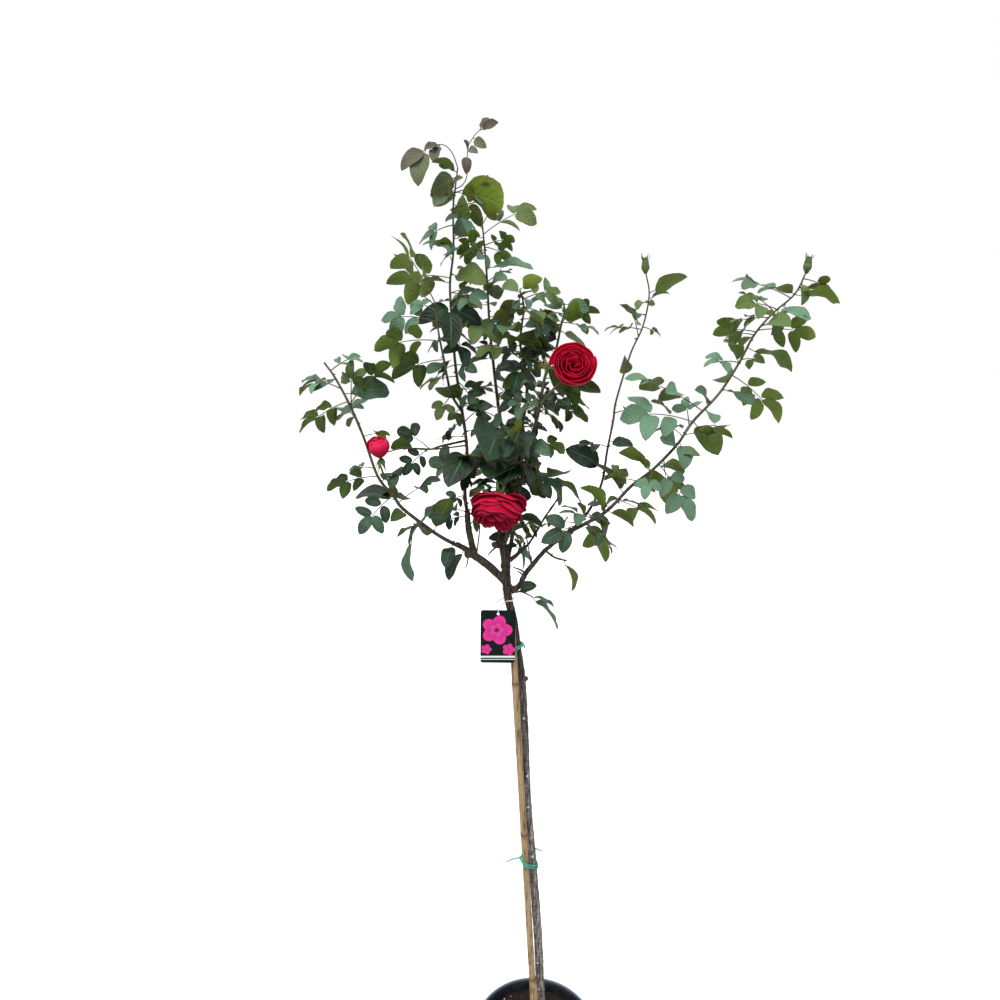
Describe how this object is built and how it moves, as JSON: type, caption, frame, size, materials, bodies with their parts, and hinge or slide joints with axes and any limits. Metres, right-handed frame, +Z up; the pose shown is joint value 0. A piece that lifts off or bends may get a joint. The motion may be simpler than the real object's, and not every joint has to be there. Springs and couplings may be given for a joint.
{
  "type": "standard rose tree in a pot",
  "caption": "Crimson rose crown on a tall bare stem, tied to a bamboo cane, with a hanging plant label, in a round plastic nursery pot.",
  "frame": {"origin": "centre of the pot's flat base, on the surface that the pot stands on", "axes": "+Z up along the stem, +X to the side of the long low branch, +Y to the back, away from the label and the two large flowers"},
  "size_m": [0.863, 0.3005, 1.9806],
  "materials": {
    "pot_plastic": "matte",
    "potting_soil": "matte",
    "old_wood": "matte",
    "bamboo": "satin",
    "tie_plastic": "satin",
    "label_plastic": "satin",
    "loop_plastic": "satin",
    "leafy_stem": "satin",
    "petals": "matte"
  },
  "bodies": {
    "root": {"pot": "pot_plastic", "soil": "potting_soil", "trunk": "old_wood", "bamboo_stake": "bamboo", "upper_tie": "tie_plastic", "lower_tie": "tie_plastic", "label": "label_plastic", "label_loop": "loop_plastic", "stem_low_left": "leafy_stem", "stem_leader": "leafy_stem", "stem_back": "leafy_stem", "stem_middle": "leafy_stem", "stem_front": "leafy_stem", "stem_right": "leafy_stem", "stem_upright": "leafy_stem", "twig_low_middle": "leafy_stem", "twig_low_right": "leafy_stem", "twig_spur": "leafy_stem", "bloom_big": "petals", "bloom_front": "petals", "bloom_small": "petals"}
  },
  "joints": []
}
